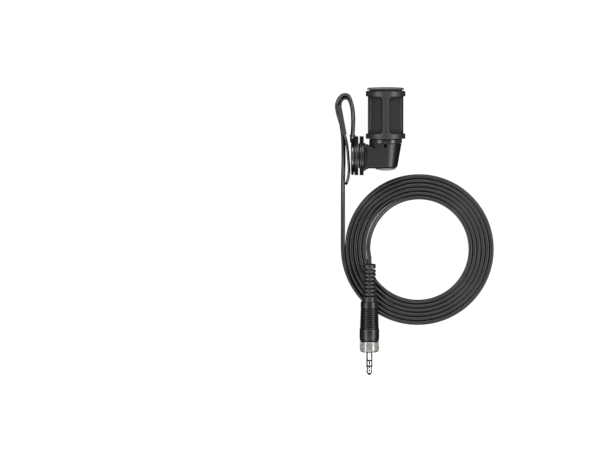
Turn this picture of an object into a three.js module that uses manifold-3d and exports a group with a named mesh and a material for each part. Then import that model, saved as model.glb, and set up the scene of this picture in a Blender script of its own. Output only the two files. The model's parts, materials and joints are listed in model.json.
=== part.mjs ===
// Lavalier microphone: a caged capsule head on a swivel elbow, a bent-wire garment clip,
// a coiled cable and a locking 3.5 mm stereo plug.
// Millimetres, +Z up. The object lies on a surface at z = 0, with the microphone's sound
// axis along +Y. The origin is the bottom centre of the microphone and its clip.

import * as THREE from 'three';
import { mergeVertices } from 'three/addons/utils/BufferGeometryUtils.js';
import Module from 'manifold-3d';

const wasm = await Module();
wasm.setup();

// Driving dimensions -------------------------------------------------------------------

const GAP = 0.3;             // clearance between neighbouring pieces
const FIT = 0.15;            // clearance round a piece that is gripped
const AXIS_Z = 11.7;         // height of the sound axis and of the swivel axis
const MIC_X = 9.15;          // sound axis, parallel to Y
const SWIVEL_Y = -11.15;     // swivel axis, parallel to X

const RING_R = 11.65;        // cage end rings
const BARREL_R = 10.45;      // cage barrel
const BARREL_BORE = 9.28;
const CAGE = { bottom: -1.11, lowerTop: 1.9, upperBottom: 23.75, top: 26.95 };
const RIB_COUNT = 4;
const RIB_WIDTH = 4.2;
const WINDOW_CORNER = 1.8;
const CAP_R = 10.6;
const CAP_TOP = 28.65;
const NECK_R = 9.65;

const RIM_Y = -4.0;          // elbow's top rim
const FLOOR_Y = -18.8;       // elbow's underside
const ELBOW_TOP_R = 9.4;
const ELBOW_BOTTOM_R = 6.8;
const ELBOW_LEFT = -1.83;
const ELBOW_WALL = 1.4;
const SCOOP_X = 3.7;         // right-hand end of the scoop in front of the neck
const SPIGOT_R = 7.2;        // neck spigot inside the elbow
const CAP_SPIGOT_R = 5.1;

const DISC_R = 11.55;        // both swivel discs
const HUB_R = 7.38;
const AXLE_R = 2.3;
const AXLE_BORE = 1.4;
const RETAINER_R = 3.6;
const BOSS_R = 9.6;
const BASE = { left: -11.2, discLeft: -9.2, floor: -8.3, right: -7.08 };

const WIRE_R = 0.9;
const WIRE_RING_X = -10.35;
const WIRE_RING_R = 10.8;
const TONGUE_HALF = 3.0;     // half the distance between the tongue's two wires
const SPLIT_X = -14.4;       // where the clip bends open
const SPLIT_HALF = 0.3;

const CABLE_R = 1.25;
const COIL_X = 28.6;
const COIL_Y = -66.3;
const COIL_OUTER = 44.5;     // centre line of the outermost turn
const COIL_TURNS = 6;
const COIL_INNER = COIL_OUTER - COIL_TURNS * 2 * CABLE_R;

const PLUG_X = -0.3;
const PLUG_FRONT_Y = -127.45;
const PLUG_FRONT_Z = 5.7;
const PLUG_TILT = THREE.MathUtils.degToRad(5.4);
const RELIEF_END = 51.8;     // distances along the plug are from the nut's front face
const NUT_R = 5.7;
const PIN_R = 1.75;          // 3.5 mm plug

const FINISHES = {
  black_plastic: { color: 0x2b2b2d, roughness: 0.5, metalness: 0 },
  grey_plastic: { color: 0x47474a, roughness: 0.7, metalness: 0 },
  black_rubber: { color: 0x1d1d1e, roughness: 0.75, metalness: 0 },
  mesh: { color: 0x3a3a3c, roughness: 0.45, metalness: 0.8 },
  foam: { color: 0x161616, roughness: 0.95, metalness: 0 },
  black_wire: { color: 0x141415, roughness: 0.2, metalness: 0.6 },
  cable_jacket: { color: 0x2a2a2c, roughness: 0.5, metalness: 0 },
  nickel: { color: 0xc9c9c6, roughness: 0.25, metalness: 1 },
  steel: { color: 0x9a9a9c, roughness: 0.35, metalness: 1 },
  board: { color: 0x1f4a2c, roughness: 0.6, metalness: 0 },
  copper: { color: 0xb26a3c, roughness: 0.4, metalness: 1 },
};

// Geometry helpers ---------------------------------------------------------------------

function signedVolume(geometry) {
  const p = geometry.attributes.position;
  const [a, b, c] = [new THREE.Vector3(), new THREE.Vector3(), new THREE.Vector3()];
  let total = 0;
  for (let i = 0; i < geometry.index.count; i += 3) {
    a.fromBufferAttribute(p, geometry.index.getX(i));
    b.fromBufferAttribute(p, geometry.index.getX(i + 1));
    c.fromBufferAttribute(p, geometry.index.getX(i + 2));
    total += a.dot(b.cross(c));
  }
  return total / 6;
}

// Welds a geometry into a closed shell whose faces point out.
function shell(source) {
  const bare = source.clone();
  bare.deleteAttribute('normal');
  bare.deleteAttribute('uv');
  const welded = mergeVertices(bare, 1e-5);
  const indices = [];
  for (let i = 0; i < welded.index.count; i += 3) {
    const face = [0, 1, 2].map((k) => welded.index.getX(i + k));
    if (new Set(face).size === 3) indices.push(...face);
  }
  welded.setIndex(indices);
  if (signedVolume(welded) < 0) welded.setIndex(indices.reverse());
  welded.computeVertexNormals();
  return welded;
}

function toSolid(geometry) {
  const closed = shell(geometry);
  return new wasm.Manifold(new wasm.Mesh({
    numProp: 3,
    vertProperties: new Float32Array(closed.attributes.position.array),
    triVerts: new Uint32Array(closed.index.array),
  }));
}

function fromSolid(solid) {
  const mesh = solid.getMesh();
  const geometry = new THREE.BufferGeometry();
  geometry.setAttribute('position', new THREE.BufferAttribute(mesh.vertProperties, 3));
  geometry.setIndex(new THREE.BufferAttribute(mesh.triVerts, 1));
  geometry.computeVertexNormals();
  return geometry;
}

// A solid turned about the local Y axis from [radius, y] pairs.
function turned(profile, segments = 24) {
  const points = profile.map(([radius, y]) => new THREE.Vector2(radius, y));
  return new THREE.LatheGeometry(points, segments);
}

// A turned ring with a rectangular section.
function ring(inner, outer, low, high, segments = 24) {
  return turned([[inner, low], [outer, low], [outer, high], [inner, high], [inner, low]], segments);
}

function disc(radius, low, high, segments = 24) {
  return turned([[0, low], [radius, low], [radius, high], [0, high]], segments);
}

function block(low, high) {
  const size = low.map((value, i) => high[i] - value);
  const geometry = new THREE.BoxGeometry(...size);
  return geometry.translate(...low.map((value, i) => value + size[i] / 2));
}

// A prism through the whole depth, from outline points in the XY plane.
function prism(outline, low, high) {
  const shape = new THREE.Shape(outline.map(([x, y]) => new THREE.Vector2(x, y)));
  const geometry = new THREE.ExtrudeGeometry(shape, { depth: high - low, bevelEnabled: false });
  return geometry.translate(0, 0, low);
}

function roundedRectangle(halfWidth, halfHeight, radius) {
  const shape = new THREE.Shape();
  const corners = [[1, 1, 0], [-1, 1, 90], [-1, -1, 180], [1, -1, 270]];
  for (const [sx, sy, start] of corners) {
    const from = THREE.MathUtils.degToRad(start);
    const cx = sx * (halfWidth - radius);
    const cy = sy * (halfHeight - radius);
    shape.absarc(cx, cy, radius, from, from + Math.PI / 2, false);
  }
  shape.closePath();
  return shape;
}

// A round bar along a smooth curve through the points.
function tube(points, radius, steps, sides = 8) {
  const section = new THREE.Shape().absarc(0, 0, radius, 0, 2 * Math.PI, false);
  const path = new THREE.CatmullRomCurve3(points, false, 'centripetal');
  const options = { steps, extrudePath: path, curveSegments: sides / 2 };
  return new THREE.ExtrudeGeometry(section, options);
}

// A convex solid through rings of points that all have the same count.
function loft(rings) {
  const count = rings[0].length;
  const vertices = rings.flat();
  const indices = [];
  for (let level = 0; level < rings.length - 1; level += 1) {
    for (let i = 0; i < count; i += 1) {
      const a = level * count + i;
      const b = level * count + (i + 1) % count;
      indices.push(a, b, a + count, b, b + count, a + count);
    }
  }
  const last = (rings.length - 1) * count;
  for (let i = 1; i < count - 1; i += 1) {
    indices.push(0, i + 1, i, last, last + i, last + i + 1);
  }
  const geometry = new THREE.BufferGeometry().setFromPoints(vertices);
  geometry.setIndex(indices);
  return geometry;
}

function piece(name, geometry, finish) {
  const mesh = new THREE.Mesh(shell(geometry), new THREE.MeshStandardMaterial(FINISHES[finish]));
  mesh.name = name;
  return mesh;
}

const alongMic = (geometry) => geometry.translate(MIC_X, 0, AXIS_Z);
const alongSwivel = (geometry) => geometry.rotateZ(-Math.PI / 2).translate(0, SWIVEL_Y, AXIS_Z);

// Microphone head ----------------------------------------------------------------------

function cageGeometry() {
  const body = toSolid(turned([
    [BARREL_BORE, CAGE.bottom], [RING_R - 0.3, CAGE.bottom], [RING_R, CAGE.bottom + 0.3],
    [RING_R, CAGE.lowerTop - 0.3], [RING_R - 0.3, CAGE.lowerTop], [BARREL_R, CAGE.lowerTop],
    [BARREL_R, CAGE.upperBottom], [RING_R - 0.3, CAGE.upperBottom],
    [RING_R, CAGE.upperBottom + 0.3], [RING_R, CAGE.top - 0.3], [RING_R - 0.3, CAGE.top],
    [BARREL_BORE, CAGE.top], [BARREL_BORE, CAGE.bottom],
  ], 32));
  const ribAngle = RIB_WIDTH / BARREL_R;
  const halfWidth = BARREL_R * Math.sin(Math.PI / RIB_COUNT - ribAngle / 2);
  const halfHeight = (CAGE.upperBottom - CAGE.lowerTop) / 2 - 0.2;
  const middle = (CAGE.upperBottom + CAGE.lowerTop) / 2;
  const outline = roundedRectangle(halfWidth, halfHeight, WINDOW_CORNER);
  const options = { depth: RING_R, bevelEnabled: false, curveSegments: 3 };
  let cage = body;
  for (let i = 0; i < RIB_COUNT; i += 1) {
    const cutter = new THREE.ExtrudeGeometry(outline, options).translate(0, middle, 0);
    cutter.rotateY(((i + 0.5) * 2 * Math.PI) / RIB_COUNT);
    cage = cage.subtract(toSolid(cutter));
  }
  return fromSolid(cage);
}

// The scoop's floor, from the collar down to the neck's foot, raised by a clearance.
function scoopLine(lift) {
  const line = [[-4.2, -3.8], [-3.4, -3.8], [-2.0, -4.3], [-0.5, -5.15], [1.2, -6.05]];
  line.push([2.9, -6.6], [SCOOP_X, -6.7]);
  return line.map(([x, y]) => [x, y + lift]);
}

function neckGeometry() {
  const barrel = toSolid(alongMic(turned([
    [3, -7.5], [SPIGOT_R, -7.5], [NECK_R, -7.5], [NECK_R, CAGE.bottom - GAP],
    [BARREL_BORE - GAP, CAGE.bottom - GAP], [BARREL_BORE - GAP, 0], [3, 0], [3, -7.5],
  ], 32)));
  const line = scoopLine(GAP);
  line[line.length - 1][0] -= GAP;
  const below = [...line, [SCOOP_X - GAP, RIM_Y + GAP], [25, RIM_Y + GAP], [25, -12], [-4.2, -12]];
  const outside = toSolid(prism(below, -5, 30));
  const kept = toSolid(alongMic(disc(SPIGOT_R, -13, 0, 32)));
  return fromSolid(barrel.subtract(outside.subtract(kept)));
}

function headPieces() {
  const group = new THREE.Group();
  group.position.set(MIC_X, 0, AXIS_Z);
  group.add(
    piece('windscreen_cage', cageGeometry(), 'black_plastic'),
    piece('top_mesh_cap', turned([
      [0, 27.7], [8.3, 27.7], [8.3, 26.4], [9.0, 26.4], [9.0, CAGE.top + GAP],
      [CAP_R, CAGE.top + GAP], [CAP_R, CAP_TOP - 0.45], [CAP_R - 0.45, CAP_TOP], [0, CAP_TOP],
    ], 32), 'mesh'),
    piece('side_mesh', ring(8.6, 9.0, GAP, 26.0, 32), 'mesh'),
    piece('foam_sleeve', ring(7.4, 8.3, GAP, 25.6, 20), 'foam'),
    piece('foam_disc', disc(8.0, 26.0, 27.4, 20), 'foam'),
    piece('capsule_holder', turned([
      [5.4, GAP], [7.1, GAP], [7.1, 10.7], [3.6, 10.7], [3.6, 9.7], [5.4, 9.7], [5.4, GAP],
    ], 20), 'black_plastic'),
    piece('capsule_mount', ring(5.15, 7.1, 11.0, 18.4, 20), 'black_rubber'),
    piece('capsule_body', turned([
      [0, 13.0], [4.85, 13.0], [4.85, 19.6], [4.2, 19.6], [4.2, 18.6], [0, 18.6],
    ], 20), 'nickel'),
    piece('capsule_felt', disc(3.9, 18.9, 19.5, 20), 'foam'),
    piece('capsule_board', disc(4.7, 11.6, 12.7, 20), 'board'),
  );
  return group;
}

// One of the two capsule leads, from the board down the elbow and through the swivel axle.
function lead(side) {
  const route = [[1.2, 11.3], [0.6, 4], [-0.2, -4], [-2.4, -9.2], [-6.6, -11.1], [-13, -11.15]];
  const points = route.map(([x, y]) => new THREE.Vector3(MIC_X + x, y, AXIS_Z + side * 0.7));
  points.push(new THREE.Vector3(-9.8, SWIVEL_Y, AXIS_Z + side * 0.7));
  return tube(points, 0.45, 20, 6);
}

// Elbow --------------------------------------------------------------------------------

// Plan outline of the elbow: straight flanks that end in a half round on the sound axis.
function elbowSection(y, radius, left) {
  const points = [new THREE.Vector3(left, y, AXIS_Z - radius)];
  const steps = 16;
  for (let i = 0; i <= steps; i += 1) {
    const angle = -Math.PI / 2 + (Math.PI * i) / steps;
    const x = MIC_X + radius * Math.cos(angle);
    points.push(new THREE.Vector3(x, y, AXIS_Z + radius * Math.sin(angle)));
  }
  points.push(new THREE.Vector3(left, y, AXIS_Z + radius));
  return points;
}

function elbowRadius(y) {
  const slope = (ELBOW_TOP_R - ELBOW_BOTTOM_R) / (RIM_Y - FLOOR_Y);
  return ELBOW_BOTTOM_R + (y - FLOOR_Y) * slope;
}

function collarPlate(left, right, inset) {
  const halfHeight = 8.0 - inset;
  const shape = roundedRectangle(8.6 - inset, halfHeight, 2.0);
  const options = { depth: right - left, bevelEnabled: false, curveSegments: 4 };
  const plate = new THREE.ExtrudeGeometry(shape, options);
  return plate.rotateY(Math.PI / 2).translate(left, -11.85, AXIS_Z);
}

function elbowGeometry() {
  const chamfer = 0.9;
  let body = toSolid(loft([
    elbowSection(FLOOR_Y, elbowRadius(FLOOR_Y) - chamfer, ELBOW_LEFT),
    elbowSection(FLOOR_Y + chamfer, elbowRadius(FLOOR_Y + chamfer), ELBOW_LEFT),
    elbowSection(RIM_Y, ELBOW_TOP_R, ELBOW_LEFT),
  ]));
  body = body.add(toSolid(collarPlate(-2.7, ELBOW_LEFT + 0.4, 0.8)));
  body = body.add(toSolid(collarPlate(-3.48, -2.66, 0)));
  const above = [...scoopLine(0), [SCOOP_X, 2], [-4.2, 2]];
  body = body.subtract(toSolid(prism(above, -5, 30)));
  body = body.subtract(toSolid(loft([
    elbowSection(-17.4, elbowRadius(-17.4) - ELBOW_WALL, -0.3),
    elbowSection(-8.4, elbowRadius(-8.4) - ELBOW_WALL, -0.3),
  ])));
  body = body.subtract(toSolid(alongMic(disc(SPIGOT_R + GAP, -9, 0, 32))));
  body = body.subtract(toSolid(alongMic(disc(CAP_SPIGOT_R + GAP, -20, -17, 24))));
  body = body.subtract(toSolid(alongSwivel(disc(AXLE_R + GAP, -5, 1, 24))));
  body = body.subtract(toSolid(alongSwivel(disc(RETAINER_R + GAP, -0.3, 1.3, 24))));
  const latch = block([8.35, -5.9, AXIS_Z + 5], [9.75, RIM_Y + 1, AXIS_Z + 12]);
  return fromSolid(body.subtract(toSolid(latch)));
}

function elbowPieces() {
  const cover = turned([
    [0, -19.85], [3.4, -19.7], [5.4, -19.35], [5.8, -19.1], [CAP_SPIGOT_R, -19.1],
    [CAP_SPIGOT_R, -16.6], [4.0, -16.6], [4.0, -18.3], [0, -18.3],
  ], 24);
  return [
    piece('neck_collar', neckGeometry(), 'black_plastic'),
    piece('elbow_housing', elbowGeometry(), 'black_plastic'),
    piece('elbow_cover', alongMic(cover), 'black_plastic'),
    piece('lead_live', lead(1), 'copper'),
    piece('lead_screen', lead(-1), 'copper'),
  ];
}

// Swivel -------------------------------------------------------------------------------

// The rim of a swivel disc has a groove between two ridges.
function ridgedRim(left, right) {
  const middle = (left + right) / 2;
  const depth = 0.45;
  return [
    [DISC_R - 0.25, left], [DISC_R, left + 0.25], [DISC_R, middle - 0.35],
    [DISC_R - depth, middle], [DISC_R, middle + 0.35], [DISC_R, right - 0.25],
    [DISC_R - 0.25, right],
  ];
}

function swivelPieces() {
  const group = new THREE.Group();
  group.position.set(0, SWIVEL_Y, AXIS_Z);
  group.rotation.z = -Math.PI / 2;
  const hole = AXLE_R + GAP;
  group.add(
    piece('swivel_flange', turned([
      [hole, -6.78], [HUB_R, -6.78], [HUB_R, -5.96], ...ridgedRim(-5.96, -3.78),
      [hole, -3.78], [hole, -6.78],
    ], 32), 'black_plastic'),
    piece('swivel_axle', turned([
      [AXLE_BORE, -10.0], [5.0, -10.0], [5.0, BASE.discLeft], [AXLE_R, BASE.discLeft],
      [AXLE_R, 1.9], [AXLE_BORE, 1.9], [AXLE_BORE, -10.0],
    ]), 'steel'),
    piece('axle_retainer', ring(AXLE_R + FIT, RETAINER_R, 0.0, 0.9), 'steel'),
  );
  return group;
}

// Garment clip -------------------------------------------------------------------------

function clipBaseGeometry() {
  const rim = ridgedRim(BASE.discLeft, BASE.right);
  const hole = AXLE_R + GAP;
  const cavity = 7.6;
  const round = alongSwivel(turned([
    [cavity, BASE.left], [BOSS_R, BASE.left], [BOSS_R, BASE.discLeft], ...rim,
    [hole, BASE.right], [hole, BASE.floor], [cavity, BASE.floor], [cavity, BASE.left],
  ], 32));
  const port = block([-12.6, -3.3, AXIS_Z - 2.3], [BASE.discLeft + 0.1, 0.2, AXIS_Z + 2.3]);
  const hollow = alongSwivel(disc(cavity, BASE.left - 3, BASE.floor, 32));
  const bore = disc(CABLE_R + GAP, -5, 1, 16).translate(-10.75, 0, AXIS_Z);
  const body = toSolid(round).add(toSolid(port).subtract(toSolid(hollow)));
  return fromSolid(body.subtract(toSolid(bore)));
}

// Centre line of the wire from the bend over the top down to the toe, in the XY plane.
const TONGUE_LINE = [
  [SPLIT_X - SPLIT_HALF, 24.85], [-15.4, 24.8], [-17.1, 24.0], [-18.9, 21.7], [-19.9, 18.4],
  [-19.5, 14.8],
  [-18.5, 11], [-17.3, 7.4], [-16.1, 4.0], [-15.0, 1.3], [-14.1, -2], [-13.3, -7], [-12.75, -13],
  [-12.45, -18], [-12.5, -21.5], [-12.75, -24],
];
const TOE_LINE = [[-13.1, -25.6, 0.93], [-13.3, -26.9, 0.72], [-13.4, -27.55, 0.4]];

function tongueWire() {
  const side = (sign) => [
    ...TONGUE_LINE.map(([x, y]) => new THREE.Vector3(x, y, AXIS_Z + sign * TONGUE_HALF)),
    ...TOE_LINE.map(([x, y, part]) => new THREE.Vector3(x, y, AXIS_Z + sign * part * TONGUE_HALF)),
  ];
  const toe = new THREE.Vector3(-13.45, -27.75, AXIS_Z);
  return [...side(-1), toe, ...side(1).reverse()];
}

// The wire's rear half: down one leg, round the base's boss and up the other leg.
const LEG_LINE = [
  [SPLIT_X + SPLIT_HALF, 24.85, 3.0], [-13.4, 24.7, 3.0], [-12.1, 23.6, 3.05], [-11.1, 21.3, 3.2],
  [-10.5, 18, 3.4], [-10.25, 14, 3.7], [-9.95, 9.5, 4.1], [-9.75, 5.5, 4.5],
  [-9.95, 2.8, 4.8], [-10.3, 0.6, 5.0], [WIRE_RING_X, -0.7, 5.3],
];

function ringWire() {
  const leg = (sign) => LEG_LINE.map(([x, y, z]) => new THREE.Vector3(x, y, AXIS_Z + sign * z));
  const loop = [];
  const start = 40;
  const step = 20;
  for (let angle = start; angle <= 360 - start; angle += step) {
    const turn = THREE.MathUtils.degToRad(angle);
    const y = SWIVEL_Y + WIRE_RING_R * Math.cos(turn);
    loop.push(new THREE.Vector3(WIRE_RING_X, y, AXIS_Z - WIRE_RING_R * Math.sin(turn)));
  }
  return [...leg(-1), ...loop, ...leg(1).reverse()];
}

const HELD_REAR = [
  [-10.75, -2.6], [-10.75, -0.6], [-10.7, 1.6], [-10.25, 4.6], [-9.95, 8], [-10.0, 12],
  [-10.4, 16.6], [-11.1, 19.6], [-12.2, 22.0], [-13.4, 22.9],
  [SPLIT_X + SPLIT_HALF, 23.0],
];
const HELD_FRONT = [
  [SPLIT_X - SPLIT_HALF, 23.0], [-15.4, 22.9], [-16.7, 22.0], [-17.6, 20.4], [-17.95, 18.2],
  [-17.75, 15],
  [-17.3, 11], [-16.8, 7], [-16.3, 3.6], [-16.0, 1.3],
];
const inMiddle = (line) => line.map(([x, y]) => new THREE.Vector3(x, y, AXIS_Z));

function keeperGeometry() {
  const bottom = new THREE.Vector3(-15.5, 1.2, AXIS_Z);
  const top = new THREE.Vector3(-18.8, 18.85, AXIS_Z);
  const length = bottom.distanceTo(top);
  const section = roundedRectangle(1.95, 4.7, 0.8);
  const options = { depth: length, bevelEnabled: false, curveSegments: 2 };
  const bar = new THREE.ExtrudeGeometry(section, options).rotateX(-Math.PI / 2);
  bar.rotateZ(Math.atan2(top.y - bottom.y, top.x - bottom.x) - Math.PI / 2);
  bar.translate(bottom.x, bottom.y, bottom.z);
  let keeper = toSolid(bar);
  for (const sign of [-1, 1]) {
    const line = TONGUE_LINE.map(([x, y]) => new THREE.Vector3(x, y, AXIS_Z + sign * TONGUE_HALF));
    keeper = keeper.subtract(toSolid(tube(line, WIRE_R + FIT, 18)));
  }
  const cable = [...HELD_FRONT, [-15.75, -2]];
  return fromSolid(keeper.subtract(toSolid(tube(inMiddle(cable), CABLE_R + FIT, 12))));
}

function clipPieces() {
  const cover = disc(7.3, BASE.left, -10.6, 32);
  const washer = ring(AXLE_R + GAP, 5.4, -8.9, -8.6);
  const grommet = ring(CABLE_R + GAP, 2.1, 0.75, 2.0, 16).translate(-10.72, 0, AXIS_Z);
  return [
    piece('tongue_wire', tube(tongueWire(), WIRE_R, 58), 'black_wire'),
    piece('ring_wire', tube(ringWire(), WIRE_R, 54), 'black_wire'),
    piece('clip_base', clipBaseGeometry(), 'black_plastic'),
    piece('base_cover', alongSwivel(cover), 'black_plastic'),
    piece('friction_washer', alongSwivel(washer), 'steel'),
    piece('cable_grommet', grommet, 'black_rubber'),
    piece('cable_keeper', keeperGeometry(), 'grey_plastic'),
    piece('held_cable_rear', tube(inMiddle(HELD_REAR), CABLE_R, 14), 'cable_jacket'),
    piece('held_cable_front', tube(inMiddle(HELD_FRONT), CABLE_R, 14), 'cable_jacket'),
  ];
}

// Cable --------------------------------------------------------------------------------

// From the keeper down to the surface and on to the coil's outermost turn.
const RUN_ROUTE = [
  [-15.95, 1.0, 11.7], [-15.8, -1.5, 11.65], [-15.65, -6, 11.3], [-15.6, -11, 10.4],
  [-15.6, -16, 9.0], [-15.75, -21, 7.3], [-15.85, -26, 5.6], [-15.88, -31, 4.1],
  [-15.88, -36, 2.9], [-15.88, -41, 1.95], [-15.89, -46, 1.4], [-15.89, -50.2, 1.27],
];

const LIFT_START = 95;       // degrees round the last turn where the cable leaves the surface
const LIFT_RISE = 9.85;

// The last, innermost turn rises towards the plug's strain relief.
function lastTurnPoint(degrees) {
  const radius = COIL_INNER + (2 * CABLE_R * (180 - degrees)) / 360;
  const turn = THREE.MathUtils.degToRad(degrees);
  const part = Math.max(0, (degrees - LIFT_START) / (180 - LIFT_START));
  const z = CABLE_R + LIFT_RISE * (0.5 - 0.5 * Math.cos(Math.PI * part));
  return new THREE.Vector3(COIL_X + radius * Math.cos(turn), COIL_Y + radius * Math.sin(turn), z);
}

function plugPoint(distance) {
  const y = PLUG_FRONT_Y + distance * Math.cos(PLUG_TILT);
  return new THREE.Vector3(PLUG_X, y, PLUG_FRONT_Z + distance * Math.sin(PLUG_TILT));
}

function cablePieces() {
  const run = RUN_ROUTE.map(([x, y, z]) => new THREE.Vector3(x, y, z));
  const tail = [127, 138, 149, 160, 170, 180].map(lastTurnPoint);
  tail.push(plugPoint(RELIEF_END + 4), plugPoint(RELIEF_END + GAP));
  const inner = COIL_INNER - CABLE_R;
  const outer = COIL_OUTER + CABLE_R;
  const coil = ring(inner, outer, 0, 2 * CABLE_R, 48);
  coil.rotateX(Math.PI / 2).translate(COIL_X, COIL_Y, 0);
  return [
    piece('cable_run', tube(run, CABLE_R, 14), 'cable_jacket'),
    piece('cable_coil', coil, 'cable_jacket'),
    piece('cable_tail', tube(tail, CABLE_R, 12), 'cable_jacket'),
  ];
}

// Plug ---------------------------------------------------------------------------------

// Soft rings with gaps between them, tapering towards the cable.
function reliefProfile() {
  const bore = CABLE_R + FIT;
  const ringCount = 8;
  const start = 32.6;
  const pitch = (RELIEF_END - start) / ringCount;
  const profile = [[bore, 29.0], [3.9, 29.0], [4.15, 30.4], [4.15, start - 0.6]];
  for (let i = 0; i < ringCount; i += 1) {
    const low = start + i * pitch;
    const radius = 4.1 - 0.055 * i;
    profile.push([2.7, start - 0.6 + i * pitch], [2.7, low + 0.3], [radius, low + 0.3]);
    profile.push([radius, low + pitch - 0.6]);
  }
  profile.push([bore, RELIEF_END - 0.6], [bore, 29.0]);
  return profile;
}

function plugPieces() {
  const group = new THREE.Group();
  group.position.set(PLUG_X, PLUG_FRONT_Y, PLUG_FRONT_Z);
  group.rotation.x = PLUG_TILT;
  const sleeveBack = 28.6;
  group.add(
    piece('strain_relief', turned(reliefProfile(), 16), 'black_rubber'),
    piece('plug_sleeve', turned([
      [4.45, 6.9], [5.6, 6.9], [5.8, 7.1], [5.8, 12.9], [5.68, 13.2], [5.15, sleeveBack - 0.3],
      [4.85, sleeveBack + 0.3], [4.3, sleeveBack + 0.3], [4.3, 8.3], [4.45, 8.3], [4.45, 6.9],
    ], 32), 'black_plastic'),
    piece('plug_core', ring(2.3, 4.1, 10.4, 14.6, 20), 'grey_plastic'),
    piece('cable_clamp', ring(CABLE_R + FIT, 2.3, 22.0, 26.0, 16), 'steel'),
    piece('plug_cable_end', disc(CABLE_R, 20.0, RELIEF_END, 12), 'cable_jacket'),
    piece('jack_sleeve_contact', turned([
      [1.3, -4.5], [PIN_R, -4.5], [PIN_R, 0.4], [3.0, 0.4], [3.0, 6.6], [4.1, 6.6],
      [4.1, 10.1], [1.3, 10.1], [1.3, -4.5],
    ], 20), 'nickel'),
    piece('rear_insulator', turned([
      [1.1, -5.0], [1.7, -5.0], [1.7, -4.6], [1.2, -4.6], [1.2, 12.0], [1.1, 12.0], [1.1, -5.0],
    ], 16), 'black_plastic'),
    piece('jack_ring_contact', turned([
      [0.8, -8.1], [PIN_R, -8.1], [PIN_R, -5.1], [1.0, -5.1], [1.0, 14.0], [0.8, 14.0],
      [0.8, -8.1],
    ], 16), 'nickel'),
    piece('front_insulator', turned([
      [0.55, -8.6], [1.65, -8.6], [1.65, -8.2], [0.7, -8.2], [0.7, 15.5], [0.55, 15.5],
      [0.55, -8.6],
    ], 16), 'black_plastic'),
    piece('jack_tip_contact', turned([
      [0, -13.5], [0.6, -13.4], [1.35, -12.4], [1.72, -11.3], [1.3, -9.9], [PIN_R, -9.1],
      [PIN_R, -8.7], [0.45, -8.7], [0.45, 17.0], [0, 17.0],
    ], 16), 'nickel'),
  );
  return group;
}

function nutPieces() {
  const group = new THREE.Group();
  group.position.set(PLUG_X, PLUG_FRONT_Y, PLUG_FRONT_Z);
  group.rotation.x = PLUG_TILT;
  const bore = 3.0 + GAP;
  group.add(piece('locking_nut', turned([
    [bore, 0], [NUT_R - 0.9, 0], [NUT_R, 0.9], [NUT_R, 5.6], [NUT_R - 0.3, 6.2],
    [bore, 6.2], [bore, 0],
  ], 36), 'nickel'));
  return group;
}

const group = new THREE.Group();
group.add(headPieces(), ...elbowPieces(), swivelPieces(), ...clipPieces());
group.add(...cablePieces(), plugPieces(), nutPieces());

export default group;
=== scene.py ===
import json
import math

import bmesh
import bpy
import numpy as np
from mathutils import Matrix, Vector


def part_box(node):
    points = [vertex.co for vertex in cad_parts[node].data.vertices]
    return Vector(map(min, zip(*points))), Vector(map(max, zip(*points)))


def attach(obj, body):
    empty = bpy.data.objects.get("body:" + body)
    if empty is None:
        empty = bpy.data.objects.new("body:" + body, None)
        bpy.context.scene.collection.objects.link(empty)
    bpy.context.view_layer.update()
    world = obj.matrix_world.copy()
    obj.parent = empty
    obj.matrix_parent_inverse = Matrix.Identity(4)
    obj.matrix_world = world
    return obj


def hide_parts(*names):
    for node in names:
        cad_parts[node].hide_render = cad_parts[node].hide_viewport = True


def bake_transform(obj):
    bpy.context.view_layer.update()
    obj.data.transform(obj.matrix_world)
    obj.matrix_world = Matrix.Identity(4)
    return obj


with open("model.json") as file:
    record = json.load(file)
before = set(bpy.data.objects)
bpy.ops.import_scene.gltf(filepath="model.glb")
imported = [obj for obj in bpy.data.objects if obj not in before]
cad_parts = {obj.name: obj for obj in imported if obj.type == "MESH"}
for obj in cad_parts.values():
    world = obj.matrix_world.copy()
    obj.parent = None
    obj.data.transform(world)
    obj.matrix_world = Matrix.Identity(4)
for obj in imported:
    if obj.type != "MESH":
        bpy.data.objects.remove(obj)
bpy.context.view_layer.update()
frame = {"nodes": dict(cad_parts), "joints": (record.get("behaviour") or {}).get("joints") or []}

MM = 0.001


# Places taken from the frame, in millimetres ------------

def low(node):
    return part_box(node)[0] / MM


def high(node):
    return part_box(node)[1] / MM


def middle(node):
    return (low(node) + high(node)) / 2


MIC_X = middle("side_mesh").x
AXIS_Z = middle("side_mesh").z
SWIVEL_Y = middle("swivel_flange").y
COIL = middle("cable_coil")
COIL_SIZE = high("cable_coil") - low("cable_coil")
CABLE_R = COIL_SIZE.z / 2
COIL_OUTER = COIL_SIZE.x / 2 - CABLE_R
COIL_TURNS = 6
TURN_PITCH = 1.985 * CABLE_R
COIL_INNER = COIL_OUTER - COIL_TURNS * TURN_PITCH

JOINTS = {joint["name"]: joint for joint in frame["joints"]}
PLUG_FRONT = Vector(JOINTS["nut_spin"]["pos_m"]) / MM
PLUG_AXIS = Vector(JOINTS["nut_spin"]["axis"]).normalized()
RELIEF_END = 51.8      # distances along the plug are from the front of the CAD nut

# Local frames: each takes its own +Z along the axis that its pieces are turned about.
MIC = Matrix(((1, 0, 0, MIC_X), (0, 0, 1, 0), (0, -1, 0, AXIS_Z), (0, 0, 0, 1)))
SWIVEL = Matrix(((0, 0, 1, 0), (1, 0, 0, SWIVEL_Y), (0, 1, 0, AXIS_Z), (0, 0, 0, 1)))
PLUG = Matrix((
    (1, 0, 0, PLUG_FRONT.x),
    (0, PLUG_AXIS.z, PLUG_AXIS.y, PLUG_FRONT.y),
    (0, -PLUG_AXIS.y, PLUG_AXIS.z, PLUG_FRONT.z),
    (0, 0, 0, 1),
))


# Camera ------------

def add_object(name, data):
    made = bpy.data.objects.new(name, data)
    bpy.context.scene.collection.objects.link(made)
    return made


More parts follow.
